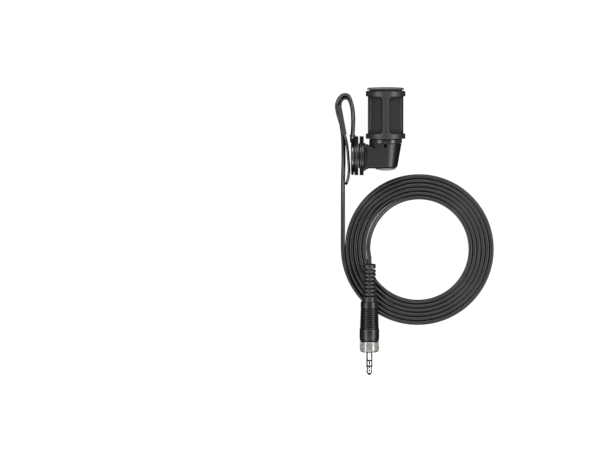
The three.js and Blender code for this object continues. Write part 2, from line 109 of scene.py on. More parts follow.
def aim(name, data, centre, side, away, distance):
    """Adds a camera or a light that faces a point from some way off."""
    made = add_object(name, data)
    axes = Matrix((side, away.cross(side), away)).transposed().to_4x4()
    made.matrix_world = Matrix.Translation(centre + away * distance) @ axes
    return made


def make_camera():
    """Looks straight down, tipped a little so that the mesh cap shows, with a long lens."""
    distance = 4.0
    frame_width = 0.3599
    tip = math.radians(2.5)
    target = Vector((-38.25, -52.45, 0)) * MM
    away = Vector((0, math.sin(tip), math.cos(tip)))
    data = bpy.data.cameras.new("camera")
    data.sensor_width = 36
    data.lens = data.sensor_width * distance / frame_width
    data.clip_end = 20
    camera = aim("camera", data, target, Vector((1, 0, 0)), away, distance)
    bpy.context.scene.camera = camera


# Mesh helpers, in millimetres ------------

SHARP_EDGE = 35      # degrees
NEARLY_STRAIGHT = math.radians(172)
TINY = 1e-6


def mesh_object(name, vertices, faces, matrix=None, sharp=SHARP_EDGE):
    points = np.asarray(vertices, float)
    if matrix is not None:
        turn = np.array(matrix)
        points = points @ turn[:3, :3].T + turn[:3, 3]
    mesh = bpy.data.meshes.new(name)
    mesh.from_pydata((points * MM).tolist(), [], faces)
    mesh.validate()
    mesh.update()
    shade(mesh, sharp)
    return add_object(name, mesh)


def shade(mesh, sharp):
    mesh.polygons.foreach_set("use_smooth", [True] * len(mesh.polygons))
    if sharp is not None:
        mesh.set_sharp_from_angle(angle=math.radians(sharp))


def grid_faces(rows, columns, wrap_columns=True, wrap_rows=False):
    faces = []
    for i in range(rows if wrap_rows else rows - 1):
        for j in range(columns if wrap_columns else columns - 1):
            row, next_row = i * columns, (i + 1) % rows * columns
            next_j = (j + 1) % columns
            faces.append((row + j, row + next_j, next_row + next_j, next_row + j))
    return faces


def fillet(profile, radius, steps, closed):
    """Rounds the corners of a profile of (radius, height) pairs, but not those on the axis."""
    points = [Vector(p) for p in profile]
    if closed and (points[0] - points[-1]).length < TINY:
        points = points[:-1]
    count = len(points)
    rounded = []
    for i, corner in enumerate(points):
        at_end = not closed and i in (0, count - 1)
        if at_end or corner.x < TINY:
            rounded.append(corner)
            continue
        before = points[i - 1] - corner
        after = points[(i + 1) % count] - corner
        opening = before.angle(after)
        if opening > NEARLY_STRAIGHT:
            rounded.append(corner)
            continue
        reach = min(radius / math.tan(opening / 2), before.length * 0.45, after.length * 0.45)
        start = corner + before.normalized() * reach
        end = corner + after.normalized() * reach
        for k in range(steps + 1):
            t = k / steps
            rounded.append(start * (1 - t) ** 2 + corner * 2 * t * (1 - t) + end * t * t)
    return [(p.x, p.y) for p in rounded]


def turned(name, profile, matrix, segments=96, radius=0.15, steps=3, shape=None):
    """A solid turned from a profile that starts and ends on the axis, or closes on itself.

    shape(angle, radius, height) may return another radius and height, for slots and knurls.
    """
    closed = profile[0][0] > TINY
    outline = fillet(profile, radius, steps, closed) if radius else list(profile)
    if closed and not radius:
        outline = outline[:-1]
    angles = [2 * math.pi * j / segments for j in range(segments)]
    vertices = []
    for r, h in outline:
        for angle in angles:
            out, up = shape(angle, r, h) if shape else (r, h)
            vertices.append((out * math.cos(angle), out * math.sin(angle), up))
    faces = grid_faces(len(outline), segments, wrap_rows=closed)
    return close_shell(mesh_object(name, vertices, faces, matrix))


def disc(name, radius, bottom, top, matrix, segments):
    """A plain disc with sharp edges, to cut with."""
    profile = [(0, bottom), (radius, bottom), (radius, top), (0, top)]
    return turned(name, profile, matrix, segments, 0)


def close_shell(piece):
    """Welds points that coincide and makes every face look outwards."""
    shell = bmesh.new()
    shell.from_mesh(piece.data)
    bmesh.ops.remove_doubles(shell, verts=shell.verts, dist=1e-7)
    bmesh.ops.recalc_face_normals(shell, faces=shell.faces)
    shell.to_mesh(piece.data)
    shell.free()
    return piece


def ring(inner, outer, bottom, top):
    """The closed profile of a plain ring."""
    return [(inner, bottom), (outer, bottom), (outer, top), (inner, top), (inner, bottom)]


def between(p, q, t, start, end):
    return p * ((end - t) / (end - start)) + q * ((t - start) / (end - start))


def smooth_route(points, spacing):
    """Evenly spaced points on a centripetal Catmull-Rom curve through the given ones."""
    knots = [Vector(p) for p in points]
    knots = [2 * knots[0] - knots[1], *knots, 2 * knots[-1] - knots[-2]]
    fine = []
    for i in range(1, len(knots) - 2):
        p0, p1, p2, p3 = knots[i - 1:i + 3]
        t0 = 0.0
        t1 = math.sqrt((p1 - p0).length)
        t2 = t1 + math.sqrt((p2 - p1).length)
        t3 = t2 + math.sqrt((p3 - p2).length)
        steps = max(4, int((p2 - p1).length / spacing * 4))
        for k in range(steps):
            t = t1 + (t2 - t1) * k / steps
            a1 = between(p0, p1, t, t0, t1)
            a2 = between(p1, p2, t, t1, t2)
            a3 = between(p2, p3, t, t2, t3)
            b1 = between(a1, a2, t, t0, t2)
            b2 = between(a2, a3, t, t1, t3)
            fine.append(between(b1, b2, t, t1, t2))
    fine.append(knots[-2])
    return resample(fine, spacing)


def resample(points, spacing):
    """Points at even distances along a broken line."""
    fine = np.array([list(p) for p in points])
    lengths = np.concatenate([[0], np.cumsum(np.linalg.norm(np.diff(fine, axis=0), axis=1))])
    count = max(2, int(round(lengths[-1] / spacing)) + 1)
    wanted = np.linspace(0, lengths[-1], count)
    return [Vector([np.interp(w, lengths, fine[:, k]) for k in range(3)]) for w in wanted]


def rod_mesh(points, radius, sides, closed=False):
    """Vertices and faces of a round bar along the points."""
    centres = np.array([list(p) for p in points])
    if closed:
        tangents = np.roll(centres, -1, axis=0) - np.roll(centres, 1, axis=0)
    else:
        tangents = np.gradient(centres, axis=0)
    tangents /= np.linalg.norm(tangents, axis=1)[:, None]
    first = np.array([0.0, 0.0, 1.0]) if abs(tangents[0][2]) < 0.9 else np.array([0.0, 1.0, 0.0])
    normal = first - tangents[0] * first.dot(tangents[0])
    vertices = []
    for centre, tangent in zip(centres, tangents):
        normal = normal - tangent * normal.dot(tangent)
        normal /= np.linalg.norm(normal)
        side = np.cross(tangent, normal)
        for k in range(sides):
            angle = 2 * math.pi * k / sides
            vertices.append(centre + radius * (normal * math.cos(angle) + side * math.sin(angle)))
    faces = grid_faces(len(centres), sides, wrap_rows=closed)
    if not closed:
        faces.append(tuple(reversed(range(sides))))
        last = (len(centres) - 1) * sides
        faces.append(tuple(last + k for k in range(sides)))
    return vertices, faces


def rod(name, points, radius, sides):
    return mesh_object(name, *rod_mesh(points, radius, sides), sharp=50)


def curve_piece(name, points, radius):
    data = bpy.data.curves.new(name, "CURVE")
    data.dimensions = "3D"
    data.bevel_depth = radius * MM
    data.bevel_resolution = 8
    data.use_fill_caps = True
    spline = data.splines.new("POLY")
    spline.points.add(len(points) - 1)
    for item, point in zip(spline.points, points):
        item.co = (*(point * MM), 1)
    spline.use_smooth = True
    return add_object(name, data)


# Solid modelling: cut and join, then melt the edges round ------------

def bake(piece):
    graph = bpy.context.evaluated_depsgraph_get()
    mesh = bpy.data.meshes.new_from_object(piece.evaluated_get(graph))
    piece.modifiers.clear()
    piece.data = mesh
    return piece


def combine(piece, others, operation):
    for other in others:
        change = piece.modifiers.new("change", "BOOLEAN")
        change.object = other
        change.operation = operation
        change.solver = "MANIFOLD"
        bake(piece)
        bpy.data.objects.remove(other)
    return piece


def join(piece, *others):
    return combine(piece, others, "UNION")


def cut(piece, *others):
    return combine(piece, others, "DIFFERENCE")


def melt(piece, voxel, rounds):
    """Gives a cut solid the soft, even edges of a moulding."""
    grid = piece.modifiers.new("grid", "REMESH")
    grid.mode = "VOXEL"
    grid.voxel_size = voxel * MM
    grid.use_smooth_shade = True
    soften = piece.modifiers.new("soften", "SMOOTH")
    soften.factor = 0.5
    soften.iterations = rounds
    bake(piece)
    shade(piece.data, None)
    return piece


def loft(name, rings, matrix=None):
    """A solid through rings of points with the same count."""
    count = len(rings[0])
    vertices = [p for one in rings for p in one]
    faces = grid_faces(len(rings), count)
    last = (len(rings) - 1) * count
    faces += [tuple(reversed(range(count))), tuple(last + k for k in range(count))]
    return close_shell(mesh_object(name, vertices, faces, matrix))


def prism(name, outline, bottom, top, matrix=None):
    """A straight prism from an outline in XY."""
    return loft(name, [[(x, y, z) for x, y in outline] for z in (bottom, top)], matrix)


def box(name, lowest, highest):
    (x0, y0, z0), (x1, y1, z1) = lowest, highest
    return prism(name, [(x0, y0), (x1, y0), (x1, y1), (x0, y1)], z0, z1)


def rounded_outline(half_width, half_height, radius, steps=6):
    points = []
    for sx, sy, start in ((1, 1, 0), (-1, 1, 90), (-1, -1, 180), (1, -1, 270)):
        for k in range(steps + 1):
            angle = math.radians(start + 90 * k / steps)
            x = sx * (half_width - radius) + radius * math.cos(angle)
            y = sy * (half_height - radius) + radius * math.sin(angle)
            points.append((x, y))
    return points


# Materials ------------

# Sockets of a node that mixes colours.
MIX_FACTOR, MIX_FIRST, MIX_SECOND, MIX_RESULT = 0, 6, 7, 2


def shader(name, base, roughness, metallic=0.0):
    """A new material, with its node tree and main shader."""
    made = bpy.data.materials.new(name)
    made.use_nodes = True
    main = made.node_tree.nodes["Principled BSDF"]
    main.inputs["Base Color"].default_value = (*base, 1)
    main.inputs["Roughness"].default_value = roughness
    main.inputs["Metallic"].default_value = metallic
    return made, made.node_tree, main


def noise(tree, scale, detail):
    """Noise in the object's own space. scale is the size of a grain in millimetres."""
    place = tree.nodes.new("ShaderNodeTexCoord")
    spread = tree.nodes.new("ShaderNodeMapping")
    spread.inputs["Scale"].default_value = [1 / (scale * MM)] * 3
    tree.links.new(place.outputs["Object"], spread.inputs["Vector"])
    grain = tree.nodes.new("ShaderNodeTexNoise")
    grain.inputs["Scale"].default_value = 1.0
    grain.inputs["Detail"].default_value = detail
    tree.links.new(spread.outputs["Vector"], grain.inputs["Vector"])
    return grain.outputs["Fac"]


def spread_value(tree, source, target, lowest, highest, start=0.3, end=0.7):
    """Drives a socket from lowest to highest as the source goes from start to end."""
    change = tree.nodes.new("ShaderNodeMapRange")
    change.inputs["From Min"].default_value = start
    change.inputs["From Max"].default_value = end
    change.inputs["To Min"].default_value = lowest
    change.inputs["To Max"].default_value = highest
    tree.links.new(source, change.inputs["Value"])
    tree.links.new(change.outputs["Result"], target)


def along_axis(tree, space, axis, start, end):
    """A value that goes from 0 to 1 along one axis of a texture space."""
    place = tree.nodes.new("ShaderNodeTexCoord")
    split = tree.nodes.new("ShaderNodeSeparateXYZ")
    tree.links.new(place.outputs[space], split.inputs["Vector"])
    part = tree.nodes.new("ShaderNodeMapRange")
    part.inputs["From Min"].default_value = start
    part.inputs["From Max"].default_value = end
    tree.links.new(split.outputs[axis], part.inputs["Value"])
    return part.outputs["Result"]


def tint(tree, source, target, dark, light, start=0.3, end=0.7):
    """Colours a socket from dark to light as the source goes from start to end."""
    ramp = tree.nodes.new("ShaderNodeValToRGB")
    ramp.color_ramp.elements[0].position = start
    ramp.color_ramp.elements[0].color = (*dark, 1)
    ramp.color_ramp.elements[1].position = end
    ramp.color_ramp.elements[1].color = (*light, 1)
    tree.links.new(source, ramp.inputs["Fac"])
    tree.links.new(ramp.outputs["Color"], target)
    return ramp


def bump(tree, main, source, depth, strength):
    """depth is in millimetres."""
    relief = tree.nodes.new("ShaderNodeBump")
    relief.inputs["Strength"].default_value = strength
    relief.inputs["Distance"].default_value = depth * MM
    tree.links.new(source, relief.inputs["Height"])
    tree.links.new(relief.outputs["Normal"], main.inputs["Normal"])


def grey(value):
    return (value, value, value)


def moulded(name, level, roughness, grain=0.12, depth=0.02):
    """Moulded plastic: a fine spark-eroded grain, faint clouding and pointed edges painted a little
    paler, partly as wear and partly as a painted highlight.
    """
    made, tree, main = shader(name, grey(level), roughness)
    clouds = noise(tree, 3.0, 3.0)
    ramp = tint(tree, clouds, main.inputs["Base Color"], grey(level * 0.85), grey(level * 1.15))
    # Pointed edges are painted paler: partly edge wear, partly a painted highlight.
    edges = tree.nodes.new("ShaderNodeNewGeometry")
    edge_wear_and_highlight = tree.nodes.new("ShaderNodeMix")
    edge_wear_and_highlight.data_type = "RGBA"
    edge_wear_and_highlight.inputs[MIX_SECOND].default_value = (*grey(level * 2.4), 1)
    spread_value(tree, edges.outputs["Pointiness"], edge_wear_and_highlight.inputs[MIX_FACTOR], 0, 0.5, 0.52, 0.62)
    tree.links.new(ramp.outputs["Color"], edge_wear_and_highlight.inputs[MIX_FIRST])
    tree.links.new(edge_wear_and_highlight.outputs[MIX_RESULT], main.inputs["Base Color"])
    fine = noise(tree, grain, 2.0)
    spread_value(tree, fine, main.inputs["Roughness"], roughness - 0.06, roughness + 0.08)
    bump(tree, main, fine, depth, 0.35)
    return made


def soft_rubber(name, level, roughness):
    """Soft moulded rubber with a little dust in its skin."""
    made, tree, main = shader(name, grey(level), roughness)
    dust = noise(tree, 1.2, 5.0)
    tint(tree, dust, main.inputs["Base Color"], grey(level * 0.8), grey(level * 1.35))
    fine = noise(tree, 0.2, 3.0)
    spread_value(tree, dust, main.inputs["Roughness"], roughness - 0.05, roughness + 0.1)
    bump(tree, main, fine, 0.02, 0.4)
    return made


def jacket(name, level, roughness):
    """Extruded cable jacket: satin, with a faint grain and handling marks."""
    made, tree, main = shader(name, grey(level), roughness)
    marks = noise(tree, 6.0, 5.0)
    tint(tree, marks, main.inputs["Base Color"], grey(level * 0.85), grey(level * 1.25))
    skin = noise(tree, 0.35, 4.0)
    spread_value(tree, skin, main.inputs["Roughness"], roughness - 0.07, roughness + 0.09)
    bump(tree, main, skin, 0.015, 0.3)
    return made


def plated_wire(name):
    """Spring wire with a bright black plating."""
    made, tree, main = shader(name, grey(0.12), 0.18, 1.0)
    waves = noise(tree, 0.9, 3.0)
    tint(tree, waves, main.inputs["Base Color"], grey(0.07), grey(0.11))
    spread_value(tree, waves, main.inputs["Roughness"], 0.13, 0.23)
    bump(tree, main, noise(tree, 0.5, 2.0), 0.012, 0.25)
    return made


def metal(name, base, roughness):
    """Plated or bare metal with a faint haze."""
    made, tree, main = shader(name, base, roughness, 1.0)
    haze = noise(tree, 2.0, 4.0)
    darker = tuple(c * 0.86 for c in base)
    tint(tree, haze, main.inputs["Base Color"], darker, base)
    fine = noise(tree, 0.25, 3.0)
    spread_value(tree, fine, main.inputs["Roughness"], roughness * 0.75, roughness * 1.4)
    bump(tree, main, fine, 0.006, 0.25)
    return made


def woven_wire(name, level):
    """The dark wire cloth behind the cage."""
    made, tree, main = shader(name, grey(level), 0.42, 0.55)
    worn = noise(tree, 0.5, 3.0)
    tint(tree, worn, main.inputs["Base Color"], grey(level * 0.7), grey(level * 1.5))
    spread_value(tree, worn, main.inputs["Roughness"], 0.34, 0.52)
    return made


def cap_wire_painted_sheen(name, level, painted_shade_level):
    """The cap's wire cloth with painted light: a painted highlight, pale on the crown, and painted
    shade where it folds down the rim.
    """
    made, tree, main = shader(name, grey(level), 0.42, 0.55)
    top = high("top_mesh_cap").y
    # Painted light: pale on the crown, with painted shade darker down the folded rim.
    height = along_axis(tree, "Object", "Y", (top - 0.5) * MM, (top - 0.15) * MM)
    tint(tree, height, main.inputs["Base Color"], grey(painted_shade_level), grey(level), 0, 1)
    spread_value(tree, noise(tree, 0.5, 3.0), main.inputs["Roughness"], 0.34, 0.52)
    return made


def open_foam(name):
    """Black foam with open cells."""
    made, tree, main = shader(name, grey(0.01), 0.95)
    cells = noise(tree, 0.35, 4.0)
    tint(tree, cells, main.inputs["Base Color"], grey(0.004), grey(0.02))
    bump(tree, main, cells, 0.2, 0.8)
    return made


def speckled(name, dark, light, roughness):
    made, tree, main = shader(name, dark, roughness)
    tint(tree, noise(tree, 0.4, 3.0), main.inputs["Base Color"], dark, light)
    return made


def make_materials():
    """The slots' own materials, and the variants that single pieces wear."""
    return {
        "black_plastic": moulded("black_plastic", 0.007, 0.29),
        "elbow_plastic": moulded("elbow_plastic", 0.004, 0.32),
        "cage_plastic": moulded("cage_plastic", 0.016, 0.4),
        "gloss_plastic": moulded("gloss_plastic", 0.02, 0.15, 0.4, 0.006),
        # Painted reflection: the elbow's cover is painted pale grey for the light that it catches.
        "painted_reflection_plastic": moulded("painted_reflection_plastic", 0.24, 0.4),
        "matt_plastic": moulded("matt_plastic", 0.004, 0.75),
        "grey_plastic": moulded("grey_plastic", 0.008, 0.6, 0.16, 0.03),
        "black_rubber": soft_rubber("black_rubber", 0.012, 0.34),
        # Painted light: the cap's cloth is a paler, lit copy of the side cloth, with painted shade down
        # its rim.
        "painted_light_cap_cloth": cap_wire_painted_sheen("painted_light_cap_cloth", 0.2, 0.04),
        "mesh": woven_wire("mesh", 0.045),
        "foam": open_foam("foam"),
        "black_wire": plated_wire("black_wire"),
        "cable_jacket": jacket("cable_jacket", 0.005, 0.28),
        "nickel": metal("nickel", (0.5, 0.5, 0.49), 0.21),
        "dull_nickel": metal("dull_nickel", (0.42, 0.42, 0.41), 0.36),
        "steel": metal("steel", (0.5, 0.5, 0.51), 0.35),
        "board": speckled("board", (0.01, 0.07, 0.03), (0.02, 0.13, 0.05), 0.4),
        "copper": speckled("copper", (0.35, 0.02, 0.015), (0.45, 0.04, 0.03), 0.4),
    }


def finish_piece(piece, slot, body, *nodes, look=None):
    """Gives a piece its material, its body and the CAD nodes that it stands for.

    look names a variant of the slot's own material.
    """
    if piece.type == "MESH":
        piece.data.materials.clear()
    piece.data.materials.append(MATERIALS[look or slot])
    if nodes:
        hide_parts(*nodes)
    if body:
        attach(piece, body)
    return piece


# Cable ------------

# From the keeper down to the coil's outermost turn.
RUN_ROUTE = [
    (-16.1, 2.4, 11.7), (-15.95, 1.0, 11.7), (-15.8, -1.5, 11.65), (-15.65, -6, 11.3),
    (-15.6, -11, 10.4), (-15.6, -16, 9.0), (-15.75, -21, 7.3), (-15.85, -26, 5.6),
    (-15.88, -31, 4.1), (-15.88, -36, 2.9), (-15.88, -41, 1.95), (-15.89, -46, 1.4),
    (-15.89, -50.2, 1.27), (-15.9, -56, CABLE_R),
]

# The cable along the clip, in its middle plane: up the rear legs, then down through the keeper.
HELD_REAR = [
    (-10.3, -2.6), (-10.3, -0.6), (-10.25, 1.6), (-10.05, 4.6), (-9.95, 8), (-10.0, 12),
    (-10.4, 16.6), (-11.1, 19.6), (-12.2, 22.0), (-13.4, 22.9), (-14.4, 23.0),
]
HELD_FRONT = [
    (-14.4, 23.0), (-15.4, 22.9), (-16.7, 22.0), (-17.6, 20.4), (-17.95, 18.2), (-17.75, 15),
    (-17.3, 11), (-16.8, 7), (-16.3, 3.6), (-16.1, 2.4),
]

LIFT_START = 95      # degrees, in the last turn, where the cable starts to rise to the plug
LIFT_RISE = 9.85
COIL_END = 180
TURN_STEPS = 48


def plug_point(distance):
    return PLUG_FRONT + PLUG_AXIS * distance


def coil_point(degrees):
    """A point of the coil.

    180 degrees is the end of the innermost turn, and each turn outside it is 360 less.
    """
    turn = math.radians(degrees)
    radius = COIL_INNER + TURN_PITCH * (COIL_END - degrees) / 360
    part = max(0.0, (degrees - LIFT_START) / (COIL_END - LIFT_START))
    z = CABLE_R + LIFT_RISE * (0.5 - 0.5 * math.cos(math.pi * part))
    return Vector((COIL.x + radius * math.cos(turn), COIL.y + radius * math.sin(turn), z))


def make_free_cord():
    run = [Vector(p) for p in RUN_ROUTE]
    first = COIL_END - 360 * COIL_TURNS
    count = TURN_STEPS * COIL_TURNS
    coil = [coil_point(first + 360 * k / TURN_STEPS) for k in range(count + 1)]
    end = [plug_point(RELIEF_END + 4), plug_point(RELIEF_END + 1), plug_point(RELIEF_END - 0.3)]
    points = smooth_route(run + coil + end, 1.2)
    cord = curve_piece("free_cord", points, CABLE_R)
    finish_piece(cord, "cable_jacket", "cable_side", "cable_run", "cable_coil", "cable_tail")
    return cord, points


# Microphone head ------------

RING_R = 11.65
BARREL_R = 10.45
BARREL_BORE = 9.28
CAGE_BOTTOM = low("windscreen_cage").y
CAGE_TOP = high("windscreen_cage").y
LOWER_RING_TOP = CAGE_BOTTOM + 3.01
UPPER_RING_BOTTOM = CAGE_TOP - 3.2
RIB_COUNT = 4
RIB_WIDTH = 3.9


def make_cage():
    """The barrel with its two rings, and a window cut between each two ribs."""
    profile = [
        (BARREL_BORE, CAGE_BOTTOM), (RING_R, CAGE_BOTTOM), (RING_R, LOWER_RING_TOP),
        (BARREL_R, LOWER_RING_TOP), (BARREL_R, UPPER_RING_BOTTOM), (RING_R, UPPER_RING_BOTTOM),
        (RING_R, CAGE_TOP), (BARREL_BORE, CAGE_TOP), (BARREL_BORE, CAGE_BOTTOM),
    ]
    cage = turned("cage", profile, MIC, 192, 0.32, 4)
    window_angle = math.pi / RIB_COUNT - RIB_WIDTH / BARREL_R / 2
    half_width = BARREL_R * math.sin(window_angle)
    half_height = (UPPER_RING_BOTTOM - LOWER_RING_TOP) / 2 - 0.2
    height = (UPPER_RING_BOTTOM + LOWER_RING_TOP) / 2
    outline = rounded_outline(half_width, half_height, 1.8, 8)
    for k in range(RIB_COUNT):
        turn = Matrix.Rotation((k + 0.5) * 2 * math.pi / RIB_COUNT, 4, "Y")
        place = Matrix.Translation((MIC_X, height, AXIS_Z)) @ turn
        cage = cut(cage, prism("window", outline, 4, 16, place))
    melt(cage, 0.15, 5)
    finish_piece(cage, "black_plastic", "mic_head", "windscreen_cage", look="cage_plastic")


def weave(name, lines, wire_radius, matrix):
    """Many thin bars as one mesh. lines are (points, closed) pairs."""
    vertices, faces = [], []
    for points, closed in lines:
        found, quads = rod_mesh(points, wire_radius, 4, closed)
        faces += [tuple(i + len(vertices) for i in quad) for quad in quads]
        vertices += found
    return mesh_object(name, vertices, faces, matrix, sharp=None)


WEAVE_PITCH = 0.54
WEAVE_WIRE = 0.115
WEAVE_SAMPLES = 4      # between two crossings of a wire
SIDE_WEAVE_R = 9.02


def over_and_under(line, sample):
    """How far one wire of the cloth stands off its middle, at one of the wire's samples."""
    return (-1) ** line * WEAVE_WIRE * math.cos(math.pi * sample / WEAVE_SAMPLES)


def make_side_weave():
    """The wire cloth behind the cage's windows: rings and uprights, each over and under."""
    bottom, top = low("side_mesh").y, high("side_mesh").y
    uprights = 2 * round(math.pi * SIDE_WEAVE_R / WEAVE_PITCH)
    rings = round((top - bottom) / WEAVE_PITCH)
    around, upwards = uprights * WEAVE_SAMPLES, rings * WEAVE_SAMPLES

    def cloth_point(off, turn, climb):
        angle = 2 * math.pi * turn
        r = SIDE_WEAVE_R + off
        return r * math.cos(angle), r * math.sin(angle), bottom + (top - bottom) * climb

    lines = []
    for i in range(rings + 1):
        points = [cloth_point(over_and_under(i, k), k / around, i / rings) for k in range(around)]
        lines.append((points, True))
    for j in range(uprights):
        points = [
            cloth_point(-over_and_under(j, k), j / uprights, k / upwards) for k in range(upwards + 1)
        ]
        lines.append((points, False))
    piece = weave("side_weave", lines, WEAVE_WIRE, MIC)
    finish_piece(piece, "mesh", "mic_head", "side_mesh")


CAP_FLAT_R = 10.1
CAP_EDGE_R = 0.62
CAP_EDGE_ARC = CAP_EDGE_R * math.pi / 2
CAP_CROWN = 0.3
CAP_RIM = 0.35


def cap_surface(x, y, lift):
    """Folds a flat sheet over the cap: crowned on top, round at the edge, straight down the rim."""
    reach = math.hypot(x, y)
    top = high("top_mesh_cap").y + CAP_CROWN - CAP_CROWN * min(1.0, reach / CAP_FLAT_R) ** 2
    if reach <= CAP_FLAT_R:
        r, h = reach, top + lift
    elif reach <= CAP_FLAT_R + CAP_EDGE_ARC:
        angle = (reach - CAP_FLAT_R) / CAP_EDGE_R
        r = CAP_FLAT_R + (CAP_EDGE_R + lift) * math.sin(angle)
        h = top - CAP_EDGE_R + (CAP_EDGE_R + lift) * math.cos(angle)
    else:
        r = CAP_FLAT_R + CAP_EDGE_R + lift
        h = top - CAP_EDGE_R - (reach - CAP_FLAT_R - CAP_EDGE_ARC)
    scale = r / reach if reach > TINY else 1
    return (x * scale, y * scale, h)


def make_cap_weave():
    """The mesh cap: one round sheet of wire cloth, folded down at its edge."""
    limit = CAP_FLAT_R + CAP_EDGE_ARC + CAP_RIM
    count = int(limit / WEAVE_PITCH)
    lines = []
    for i in range(-count, count + 1):
        across = i * WEAVE_PITCH
        half = math.sqrt(limit ** 2 - across ** 2)
        steps = max(2, int(half / WEAVE_PITCH * WEAVE_SAMPLES))
        for along_x in (True, False):
            points = []
            for k in range(-steps, steps + 1):
                along = k * WEAVE_PITCH / WEAVE_SAMPLES
                wave = over_and_under(i, k)
                place = (along, across) if along_x else (across, along)
                points.append(cap_surface(*place, wave if along_x else -wave))
            lines.append((points, False))
    piece = weave("cap_weave", lines, WEAVE_WIRE, MIC)
    finish_piece(piece, "mesh", "mic_head", "top_mesh_cap", look="painted_light_cap_cloth")


FOAM_R = 8.25
FOAM_BORE = 7.4
FOAM_ROUGHNESS = 0.25
FOAM_WAVES = 24


def make_foam():
    """The windscreen foam behind the wire cloth, with its open-cell surface."""
    generator = np.random.default_rng(7)
    lobes = generator.integers(9, 60, FOAM_WAVES).tolist()
    climbs = generator.uniform(1.5, 9, FOAM_WAVES)
    phases = generator.uniform(0, 6.28, FOAM_WAVES)

    def rough(angle, r, height):
        if r < 8:
            return r, height
        waves = zip(lobes, climbs, phases)
        ripple = sum(math.sin(n * angle + k * height + p) for n, k, p in waves) / FOAM_WAVES
        return r + FOAM_ROUGHNESS * ripple, height

    bottom, top = low("foam_sleeve").y, high("foam_sleeve").y
    steps = 60
    side = [(FOAM_R, bottom + (top - bottom) * k / steps) for k in range(steps + 1)]
    profile = [(FOAM_BORE, bottom), *side, (FOAM_BORE, top), (FOAM_BORE, bottom)]
    sleeve = turned("foam_tube", profile, MIC, 160, 0, 0, rough)
    finish_piece(sleeve, "foam", "mic_head", "foam_sleeve")
    dome = [
        (0, 2.2), (9.0, 2.2), (10.0, 2.1), (10.0, 1.6), (9.6, 1.2), (8.5, 0.95), (5.0, 0.65),
        (2.5, 0.55), (0, 0.5),
    ]
    cap_top = high("top_mesh_cap").y
    profile = [(r, cap_top - depth) for r, depth in dome]
    pad = turned("foam_pad", profile, MIC, 120, 0.2, 3, rough)
    finish_piece(pad, "foam", "mic_head", "foam_disc")


# Elbow ------------

RIM_Y = -4.0
FLOOR_Y = -18.5
ELBOW_TOP_R = 9.4
ELBOW_BOTTOM_R = 6.8
ELBOW_LEFT = -1.83
ELBOW_WALL = 1.4
SCOOP_X = 3.7
SPIGOT_R = 7.2
NECK_R = 9.65
COLLAR_Y = -11.85
BEARING_R = 2.6      # of every bore that the swivel axle passes


def elbow_ring(y, radius, left):
    """The elbow's outline at one height: flat on the left, round on the right."""
    steps = 48
    points = [(left, y, AXIS_Z - radius)]
    for k in range(steps + 1):
        angle = -math.pi / 2 + math.pi * k / steps
        points.append((MIC_X + radius * math.cos(angle), y, AXIS_Z + radius * math.sin(angle)))
    points.append((left, y, AXIS_Z + radius))
    return points


def elbow_radius(y):
    """The elbow tapers evenly from its rim to its floor."""
    return ELBOW_BOTTOM_R + (y - FLOOR_Y) * (ELBOW_TOP_R - ELBOW_BOTTOM_R) / (RIM_Y - FLOOR_Y)


def scoop_line(lift):
    """The hollow curve where the neck sits in the elbow, lifted by a clearance."""
    line = [
        (-4.2, -3.8), (-3.4, -3.8), (-2.0, -4.3), (-0.5, -5.15), (1.2, -6.05), (2.9, -6.6),
        (SCOOP_X, -6.7),
    ]
    fine = smooth_route([(x, y, 0) for x, y in line], 0.4)
    return [(p.x, p.y + lift) for p in fine]


def collar_plate(left, right, inset):
    """One step of the collar on the elbow's swivel side."""
    outline = rounded_outline(8.6 - inset, 8.0 - inset, 2.0)
    upright = Matrix(((0, 0, 1, 0), (0, 1, 0, COLLAR_Y), (-1, 0, 0, AXIS_Z), (0, 0, 0, 1)))
    return prism("collar", outline, left, right, upright)


def make_elbow():
    """The housing: a tapered half barrel with its collar, latch window and hollow inside."""
    chamfer = 0.9
    housing = loft("elbow", [
        elbow_ring(FLOOR_Y, elbow_radius(FLOOR_Y) - chamfer, ELBOW_LEFT),
        elbow_ring(FLOOR_Y + chamfer, elbow_radius(FLOOR_Y + chamfer), ELBOW_LEFT),
        elbow_ring(RIM_Y, ELBOW_TOP_R, ELBOW_LEFT),
    ])
    join(housing, collar_plate(-2.75, ELBOW_LEFT + 0.4, 0.8), collar_plate(-3.75, -2.6, 0))
    above = [*scoop_line(0), (SCOOP_X, 2), (-4.2, 2)]
    top, bottom = -8.4, -17.4
    cavity = loft("cavity", [
        elbow_ring(bottom, elbow_radius(bottom) - ELBOW_WALL, -0.3),
        elbow_ring(top, elbow_radius(top) - ELBOW_WALL, -0.3),
    ])
    latch = box("latch", (7.95, -6.15, AXIS_Z + 5), (9.95, RIM_Y + 1, AXIS_Z + 12))
    cut(
        housing,
        prism("scoop", above, -5, 30),
        cavity,
        disc("mouth", SPIGOT_R + 0.3, -9, 0, MIC, 96),
        disc("drain", 5.4, -20, -17, MIC, 64),
        disc("bearing", BEARING_R, -5, 1, SWIVEL, 48),
        disc("pocket", 3.9, -0.4, 1.3, SWIVEL, 48),
        latch,
    )
    melt(housing, 0.13, 6)
    finish_piece(housing, "black_plastic", "mic_head", "elbow_housing", look="elbow_plastic")


